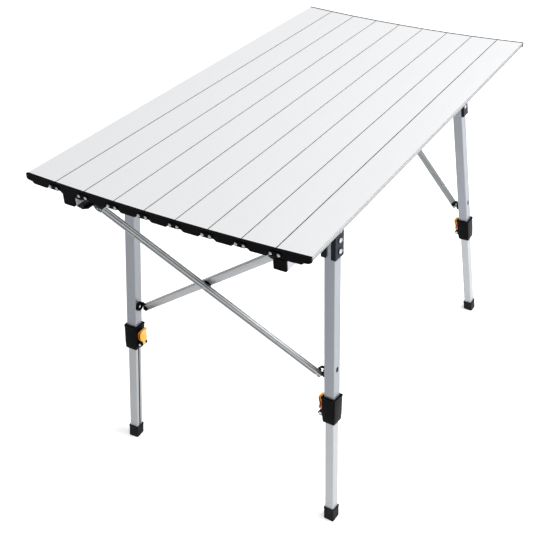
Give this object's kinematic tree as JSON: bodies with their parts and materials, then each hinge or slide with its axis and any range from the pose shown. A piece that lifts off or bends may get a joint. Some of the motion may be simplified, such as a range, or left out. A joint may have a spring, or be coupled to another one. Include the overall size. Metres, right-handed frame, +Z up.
{
  "type": "folding side table",
  "caption": "Folding camp side table with a roll-up aluminium slat top on a cross-braced frame with telescopic clamp-lever legs.",
  "frame": {"origin": "on the floor, under the middle of the table top", "axes": "+X across the slats, towards the right long side; +Y along the slats, from the near end to the far end; +Z up"},
  "size_m": [0.515, 0.9138, 0.6419],
  "materials": {
    "slat_aluminium": "satin anodised",
    "frame_aluminium": "satin anodised",
    "lower_leg_aluminium": "bright drawn",
    "cap_plastic": "fine texture",
    "bracket_plastic": "fine texture",
    "lever_plastic": "semi-gloss",
    "screw_steel": "zinc plated",
    "foot_rubber": "matt"
  },
  "bodies": {
    "frame_left": {"rail_left": "frame_aluminium", "rail_plugs_left": "cap_plastic", "brace_tracks_left": "bracket_plastic", "hinge_brackets_left": "bracket_plastic", "bracket_bolts_left": "screw_steel"},
    "frame_right": {"rail_right": "frame_aluminium", "rail_plugs_right": "cap_plastic", "brace_tracks_right": "bracket_plastic", "hinge_brackets_right": "bracket_plastic", "bracket_bolts_right": "screw_steel"},
    "upper_leg_near_left": {"upper_leg_near_left": "frame_aluminium", "collar_near_left": "cap_plastic"},
    "lower_leg_near_left": {"lower_leg_near_left": "lower_leg_aluminium", "foot_near_left": "foot_rubber"},
    "lever_near_left": {"lever_near_left": "lever_plastic"},
    "knuckle_near_left": {"knuckle_near_left": "cap_plastic"},
    "brace_near_left": {"brace_near_left": "frame_aluminium", "brace_fittings_near_left": "cap_plastic"},
    "upper_leg_near_right": {"upper_leg_near_right": "frame_aluminium", "collar_near_right": "cap_plastic"},
    "lower_leg_near_right": {"lower_leg_near_right": "lower_leg_aluminium", "foot_near_right": "foot_rubber"},
    "lever_near_right": {"lever_near_right": "lever_plastic"},
    "knuckle_near_right": {"knuckle_near_right": "cap_plastic"},
    "brace_near_right": {"brace_near_right": "frame_aluminium", "brace_fittings_near_right": "cap_plastic"},
    "upper_leg_far_left": {"upper_leg_far_left": "frame_aluminium", "collar_far_left": "cap_plastic"},
    "lower_leg_far_left": {"lower_leg_far_left": "lower_leg_aluminium", "foot_far_left": "foot_rubber"},
    "lever_far_left": {"lever_far_left": "lever_plastic"},
    "knuckle_far_left": {"knuckle_far_left": "cap_plastic"},
    "brace_far_left": {"brace_far_left": "frame_aluminium", "brace_fittings_far_left": "cap_plastic"},
    "upper_leg_far_right": {"upper_leg_far_right": "frame_aluminium", "collar_far_right": "cap_plastic"},
    "lower_leg_far_right": {"lower_leg_far_right": "lower_leg_aluminium", "foot_far_right": "foot_rubber"},
    "lever_far_right": {"lever_far_right": "lever_plastic"},
    "knuckle_far_right": {"knuckle_far_right": "cap_plastic"},
    "brace_far_right": {"brace_far_right": "frame_aluminium", "brace_fittings_far_right": "cap_plastic"},
    "slat_1": {"slat_1": "slat_aluminium", "end_caps_1": "cap_plastic"},
    "slat_2": {"slat_2": "slat_aluminium", "end_caps_2": "cap_plastic"},
    "slat_3": {"slat_3": "slat_aluminium", "end_caps_3": "cap_plastic"},
    "slat_4": {"slat_4": "slat_aluminium", "end_caps_4": "cap_plastic"},
    "slat_5": {"slat_5": "slat_aluminium", "end_caps_5": "cap_plastic"},
    "slat_6": {"slat_6": "slat_aluminium", "end_caps_6": "cap_plastic"},
    "slat_7": {"slat_7": "slat_aluminium", "end_caps_7": "cap_plastic"},
    "slat_8": {"slat_8": "slat_aluminium", "end_caps_8": "cap_plastic"},
    "slat_9": {"slat_9": "slat_aluminium", "end_caps_9": "cap_plastic"}
  },
  "joints": [
    {"name": "frame_close", "type": "slide", "parent": "frame_left", "child": "frame_right", "axis": [-1, 0, 0], "range_m": [0, 0.138]},
    {"name": "leg_fold_near_left", "type": "hinge", "parent": "frame_left", "child": "upper_leg_near_left", "pos_m": [-0.1976, -0.2833, 0.576], "axis": [0.9967, 0.061, -0.0537], "range_deg": [0, 90.09]},
    {"name": "knuckle_swivel_near_left", "type": "hinge", "parent": "upper_leg_near_left", "child": "knuckle_near_left", "pos_m": [-0.19924, -0.31435, 0.30556], "axis": [0.9967, 0.061, -0.0537], "range_deg": [-26.41, 0]},
    {"name": "brace_turn_near_left", "type": "hinge", "parent": "knuckle_near_left", "child": "brace_near_left", "pos_m": [-0.18429, -0.31343, 0.30475], "axis": [0, -0.955, -0.2965], "range_deg": [0, 21.74]},
    {"name": "leg_slide_near_left", "type": "slide", "parent": "upper_leg_near_left", "child": "lower_leg_near_left", "axis": [0.0463, 0.1166, 0.9921], "range_m": [0, 0.16]},
    {"name": "lever_open_near_left", "type": "hinge", "parent": "upper_leg_near_left", "child": "lever_near_left", "pos_m": [-0.19609, -0.32331, 0.22534], "axis": [0.0667, -0.9913, 0.1134], "range_deg": [-110, 0]},
    {"name": "leg_fold_near_right", "type": "hinge", "parent": "frame_right", "child": "upper_leg_near_right", "pos_m": [0.1976, -0.2833, 0.576], "axis": [0.9967, -0.061, 0.0537], "range_deg": [0, 90.09]},
    {"name": "knuckle_swivel_near_right", "type": "hinge", "parent": "upper_leg_near_right", "child": "knuckle_near_right", "pos_m": [0.19924, -0.31435, 0.30556], "axis": [0.9967, -0.061, 0.0537], "range_deg": [-26.41, 0]},
    {"name": "brace_turn_near_right", "type": "hinge", "parent": "knuckle_near_right", "child": "brace_near_right", "pos_m": [0.18429, -0.31343, 0.30475], "axis": [0, 0.955, 0.2965], "range_deg": [0, 21.74]},
    {"name": "leg_slide_near_right", "type": "slide", "parent": "upper_leg_near_right", "child": "lower_leg_near_right", "axis": [-0.0463, 0.1166, 0.9921], "range_m": [0, 0.16]},
    {"name": "lever_open_near_right", "type": "hinge", "parent": "upper_leg_near_right", "child": "lever_near_right", "pos_m": [0.19609, -0.32331, 0.22534], "axis": [0.0667, 0.9913, -0.1134], "range_deg": [-110, 0]},
    {"name": "leg_fold_far_left", "type": "hinge", "parent": "frame_left", "child": "upper_leg_far_left", "pos_m": [-0.184, 0.2864, 0.55], "axis": [-0.9959, -0.0609, 0.0662], "range_deg": [0, 90.09]},
    {"name": "knuckle_swivel_far_left", "type": "hinge", "parent": "upper_leg_far_left", "child": "knuckle_far_left", "pos_m": [-0.19172, 0.31685, 0.2957], "axis": [-0.9959, -0.0609, 0.0662], "range_deg": [-27, 0]},
    {"name": "brace_turn_far_left", "type": "hinge", "parent": "knuckle_far_left", "child": "brace_far_left", "pos_m": [-0.17678, 0.31777, 0.2947], "axis": [0, -0.9472, 0.3206], "range_deg": [0, 21.71]},
    {"name": "leg_slide_far_left", "type": "slide", "parent": "upper_leg_far_left", "child": "lower_leg_far_left", "axis": [0.0729, -0.1163, 0.9905], "range_m": [0, 0.16]},
    {"name": "lever_open_far_left", "type": "hinge", "parent": "upper_leg_far_left", "child": "lever_far_left", "pos_m": [-0.19, 0.3255, 0.22517], "axis": [0.0526, -0.9913, -0.1203], "range_deg": [-110, 0]},
    {"name": "leg_fold_far_right", "type": "hinge", "parent": "frame_right", "child": "upper_leg_far_right", "pos_m": [0.184, 0.2864, 0.55], "axis": [-0.9959, 0.0609, -0.0662], "range_deg": [0, 90.09]},
    {"name": "knuckle_swivel_far_right", "type": "hinge", "parent": "upper_leg_far_right", "child": "knuckle_far_right", "pos_m": [0.19172, 0.31685, 0.2957], "axis": [-0.9959, 0.0609, -0.0662], "range_deg": [-27, 0]},
    {"name": "brace_turn_far_right", "type": "hinge", "parent": "knuckle_far_right", "child": "brace_far_right", "pos_m": [0.17678, 0.31777, 0.2947], "axis": [0, 0.9472, -0.3206], "range_deg": [0, 21.71]},
    {"name": "leg_slide_far_right", "type": "slide", "parent": "upper_leg_far_right", "child": "lower_leg_far_right", "axis": [-0.0729, -0.1163, 0.9905], "range_m": [0, 0.16]},
    {"name": "lever_open_far_right", "type": "hinge", "parent": "upper_leg_far_right", "child": "lever_far_right", "pos_m": [0.19, 0.3255, 0.22517], "axis": [0.0526, 0.9913, 0.1203], "range_deg": [-110, 0]},
    {"name": "top_lift", "type": "slide", "parent": "frame_left", "child": "slat_5", "axis": [0, 0, 1], "range_m": [0, 0.34]},
    {"name": "top_roll_6", "type": "hinge", "parent": "slat_5", "child": "slat_6", "pos_m": [0.03519, 0, 0.62758], "axis": [0, 1, 0], "range_deg": [0, 40.04]},
    {"name": "top_roll_7", "type": "hinge", "parent": "slat_6", "child": "slat_7", "pos_m": [0.09249, 0, 0.62835], "axis": [0, 1, 0], "range_deg": [0, 40.04]},
    {"name": "top_roll_8", "type": "hinge", "parent": "slat_7", "child": "slat_8", "pos_m": [0.14979, 0, 0.62982], "axis": [0, 1, 0], "range_deg": [0, 40.04]},
    {"name": "top_roll_9", "type": "hinge", "parent": "slat_8", "child": "slat_9", "pos_m": [0.20709, 0, 0.63197], "axis": [0, 1, 0], "range_deg": [0, 40.04]},
    {"name": "top_roll_4", "type": "hinge", "parent": "slat_5", "child": "slat_4", "pos_m": [-0.03519, 0, 0.62758], "axis": [0, -1, 0], "range_deg": [0, 40.04]},
    {"name": "top_roll_3", "type": "hinge", "parent": "slat_4", "child": "slat_3", "pos_m": [-0.09249, 0, 0.62835], "axis": [0, -1, 0], "range_deg": [0, 40.04]},
    {"name": "top_roll_2", "type": "hinge", "parent": "slat_3", "child": "slat_2", "pos_m": [-0.14979, 0, 0.62982], "axis": [0, -1, 0], "range_deg": [0, 40.04]},
    {"name": "top_roll_1", "type": "hinge", "parent": "slat_2", "child": "slat_1", "pos_m": [-0.20709, 0, 0.63197], "axis": [0, -1, 0], "range_deg": [0, 40.04]}
  ],
  "couplings": [
    {"joint": "leg_fold_near_left", "follows": "frame_close", "rad_per_m": 11.383},
    {"joint": "knuckle_swivel_near_left", "follows": "frame_close", "rad_per_m": -3.3363},
    {"joint": "brace_turn_near_left", "follows": "frame_close", "rad_per_m": 2.7471},
    {"joint": "leg_fold_near_right", "follows": "frame_close", "rad_per_m": 11.383},
    {"joint": "knuckle_swivel_near_right", "follows": "frame_close", "rad_per_m": -3.3363},
    {"joint": "brace_turn_near_right", "follows": "frame_close", "rad_per_m": 2.7471},
    {"joint": "leg_fold_far_left", "follows": "frame_close", "rad_per_m": 11.383},
    {"joint": "knuckle_swivel_far_left", "follows": "frame_close", "rad_per_m": -3.4113},
    {"joint": "brace_turn_far_left", "follows": "frame_close", "rad_per_m": 2.7432},
    {"joint": "leg_fold_far_right", "follows": "frame_close", "rad_per_m": 11.383},
    {"joint": "knuckle_swivel_far_right", "follows": "frame_close", "rad_per_m": -3.4113},
    {"joint": "brace_turn_far_right", "follows": "frame_close", "rad_per_m": 2.7432},
    {"joint": "top_roll_6", "follows": "top_lift", "rad_per_m": 2.0533},
    {"joint": "top_roll_7", "follows": "top_lift", "rad_per_m": 2.0533},
    {"joint": "top_roll_8", "follows": "top_lift", "rad_per_m": 2.0533},
    {"joint": "top_roll_9", "follows": "top_lift", "rad_per_m": 2.0533},
    {"joint": "top_roll_4", "follows": "top_lift", "rad_per_m": 2.0533},
    {"joint": "top_roll_3", "follows": "top_lift", "rad_per_m": 2.0533},
    {"joint": "top_roll_2", "follows": "top_lift", "rad_per_m": 2.0533},
    {"joint": "top_roll_1", "follows": "top_lift", "rad_per_m": 2.0533}
  ]
}
